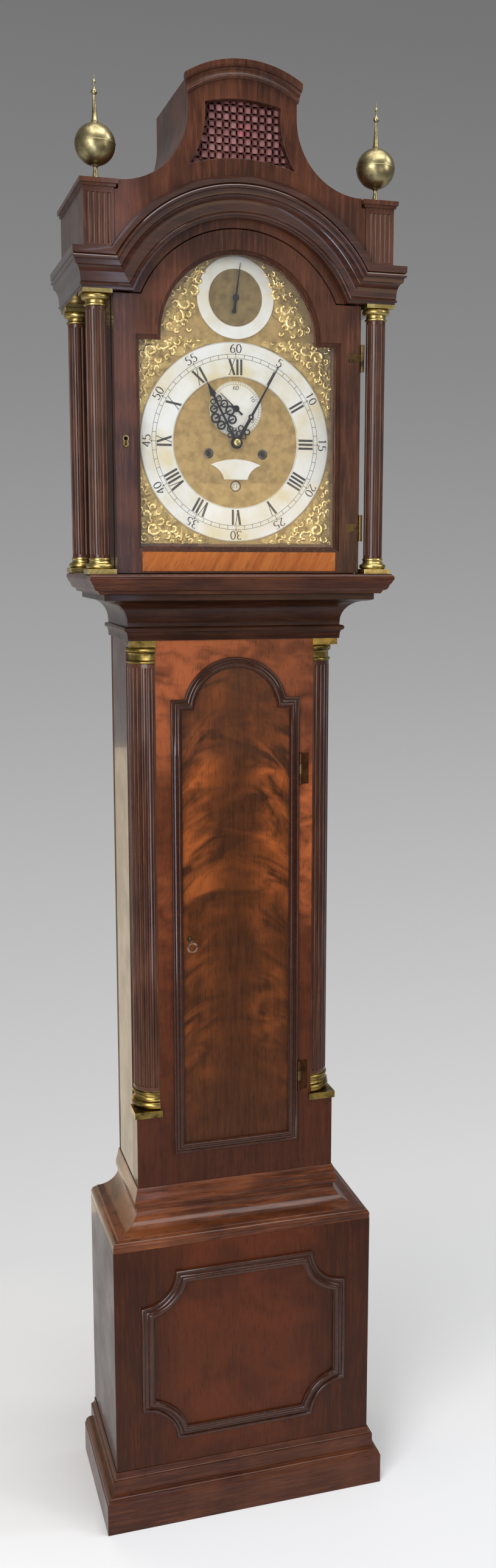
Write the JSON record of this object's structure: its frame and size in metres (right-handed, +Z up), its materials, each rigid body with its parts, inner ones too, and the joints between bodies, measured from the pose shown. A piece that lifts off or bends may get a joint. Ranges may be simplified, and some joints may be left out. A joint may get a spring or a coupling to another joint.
{
  "type": "longcase clock",
  "caption": "Tall wooden longcase clock with an arched pediment hood on columns, a glazed hood door over a brass dial, an arched trunk door and a panelled base.",
  "frame": {"origin": "middle of the footprint on the floor", "axes": "+Z up; -Y out of the dial, +Y towards the wall; +X to the right as seen from the front"},
  "size_m": [0.4976, 0.235, 2.2531],
  "materials": {
    "mahogany": "french-polished, dark red-brown",
    "figured_mahogany": "french-polished flame figure",
    "brass": "lacquered",
    "dull_brass": "dulled with age",
    "silvered_brass": "silvered and waxed",
    "blued_steel": "blued",
    "glass": "clear sheet",
    "silk": "plain woven",
    "gut": "twisted gut"
  },
  "bodies": {
    "case": {"plinth": "mahogany", "base_boards": "mahogany", "base_panel_moulding": "mahogany", "waist_moulding": "mahogany", "backboard": "mahogany", "trunk_sides": "mahogany", "trunk_front_frame": "figured_mahogany", "trunk_columns": "mahogany", "trunk_column_brasses": "brass", "throat_moulding": "mahogany", "seatboard": "mahogany", "trunk_hinges": "dull_brass", "dial_plate": "brass", "chapter_ring": "silvered_brass", "dial_centre_plates": "silvered_brass", "strike_silent_ring": "silvered_brass", "spandrels": "brass", "movement_frame": "brass", "bell": "brass", "going_line": "gut", "strike_line": "gut", "gut_tails": "gut"},
    "trunk_door": {"trunk_door": "figured_mahogany", "trunk_door_moulding": "mahogany", "trunk_door_fittings": "dull_brass"},
    "trunk_door_key": {"trunk_door_key": "blued_steel"},
    "hood": {"hood_base_frame": "mahogany", "hood_sides": "mahogany", "hood_mask": "mahogany", "hood_columns": "mahogany", "hood_column_brasses": "brass", "hood_cornice": "mahogany", "pediment": "mahogany", "hood_roof": "mahogany", "fret_panel": "mahogany", "fret_silk": "silk", "finial_pedestals": "mahogany", "finials": "dull_brass", "hood_hinges": "dull_brass"},
    "hood_door": {"hood_door": "mahogany", "hood_door_glass": "glass", "hood_door_fittings": "dull_brass"},
    "minute": {"minute_hand": "blued_steel", "centre_arbor": "brass"},
    "hour": {"hour_hand": "blued_steel", "hour_wheel": "brass"},
    "minute_wheel": {"minute_wheel": "brass"},
    "third": {"third_arbor": "brass"},
    "escape": {"escape_arbor": "brass", "seconds_hand": "blued_steel"},
    "going_barrel": {"going_barrel": "brass"},
    "calendar": {"calendar_ring": "silvered_brass"},
    "pendulum": {"pendulum": "blued_steel"},
    "pallets": {"pallet_arbor": "blued_steel"},
    "strike_barrel": {"strike_barrel": "brass"},
    "pin_wheel": {"pin_wheel": "brass"},
    "hammer": {"hammer": "blued_steel"},
    "strike_silent_hand": {"strike_silent_hand": "blued_steel"},
    "going_weight": {"going_weight": "brass"},
    "strike_weight": {"strike_weight": "brass"}
  },
  "joints": [
    {"name": "trunk_door_hinge", "type": "hinge", "parent": "case", "child": "trunk_door", "pos_m": [0.1055, -0.0515, 0.97], "axis": [0, 0, 1], "range_deg": [0, 110]},
    {"name": "trunk_door_key_turn", "type": "hinge", "parent": "trunk_door", "child": "trunk_door_key", "pos_m": [-0.0765, -0.0685, 0.966], "axis": [0, 1, 0], "range_deg": [0, 90]},
    {"name": "hood_slide", "type": "slide", "parent": "case", "child": "hood", "axis": [0, -1, 0], "range_m": [0, 0.3]},
    {"name": "hood_door_hinge", "type": "hinge", "parent": "hood", "child": "hood_door", "pos_m": [0.1895, -0.082, 1.73], "axis": [0, 0, 1], "range_deg": [0, 95]},
    {"name": "minute_spin", "type": "hinge", "parent": "case", "child": "minute", "pos_m": [0, 0, 1.731], "axis": [0, 1, 0], "continuous": true},
    {"name": "hour_spin", "type": "hinge", "parent": "case", "child": "hour", "pos_m": [0, 0, 1.731], "axis": [0, 1, 0], "continuous": true},
    {"name": "minute_wheel_spin", "type": "hinge", "parent": "case", "child": "minute_wheel", "pos_m": [0, 0, 1.7058], "axis": [0, 1, 0], "continuous": true},
    {"name": "third_spin", "type": "hinge", "parent": "case", "child": "third", "pos_m": [-0.00601, 0, 1.75753], "axis": [0, 1, 0], "continuous": true},
    {"name": "escape_spin", "type": "hinge", "parent": "case", "child": "escape", "pos_m": [0, 0, 1.7807], "axis": [0, 1, 0], "continuous": true},
    {"name": "going_barrel_spin", "type": "hinge", "parent": "case", "child": "going_barrel", "pos_m": [0.042, 0, 1.715], "axis": [0, 1, 0], "continuous": true},
    {"name": "calendar_spin", "type": "hinge", "parent": "case", "child": "calendar", "pos_m": [0, 0, 1.731], "axis": [0, 1, 0], "continuous": true},
    {"name": "pendulum_swing", "type": "hinge", "parent": "case", "child": "pendulum", "pos_m": [0, 0, 1.80898], "axis": [0, 1, 0], "range_deg": [-3, 3]},
    {"name": "pallet_rock", "type": "hinge", "parent": "case", "child": "pallets", "pos_m": [0, 0, 1.80898], "axis": [0, 1, 0], "range_deg": [-3, 3]},
    {"name": "strike_barrel_spin", "type": "hinge", "parent": "case", "child": "strike_barrel", "pos_m": [-0.042, 0, 1.715], "axis": [0, 1, 0], "continuous": true},
    {"name": "pin_wheel_spin", "type": "hinge", "parent": "case", "child": "pin_wheel", "pos_m": [-0.042, 0, 1.75502], "axis": [0, 1, 0], "continuous": true},
    {"name": "hammer_lift", "type": "hinge", "parent": "case", "child": "hammer", "pos_m": [-0.052, 0, 1.817], "axis": [0, 1, 0], "range_deg": [-20, 0], "stiffness_Nm_per_rad": 0.02, "springref_deg": 20.05},
    {"name": "strike_silent_turn", "type": "hinge", "parent": "case", "child": "strike_silent_hand", "pos_m": [0, 0, 1.94], "axis": [0, 1, 0], "range_deg": [-8, 164]},
    {"name": "going_weight_fall", "type": "slide", "parent": "case", "child": "going_weight", "axis": [0, 0, -1], "range_m": [0, 1.05], "deforming": ["going_line"]},
    {"name": "strike_weight_fall", "type": "slide", "parent": "case", "child": "strike_weight", "axis": [0, 0, -1], "range_m": [0, 1.05], "deforming": ["strike_line"]}
  ],
  "couplings": [
    {"joint": "hour_spin", "follows": "minute_spin", "ratio": 0.083333},
    {"joint": "minute_wheel_spin", "follows": "minute_spin", "ratio": -1},
    {"joint": "third_spin", "follows": "minute_spin", "ratio": -7.5},
    {"joint": "escape_spin", "follows": "minute_spin", "ratio": 60},
    {"joint": "going_barrel_spin", "follows": "minute_spin", "ratio": -0.083333},
    {"joint": "calendar_spin", "follows": "minute_spin", "ratio": 0.0013441},
    {"joint": "pallet_rock", "follows": "pendulum_swing", "ratio": 1},
    {"joint": "pin_wheel_spin", "follows": "strike_barrel_spin", "ratio": -10.5}
  ]
}
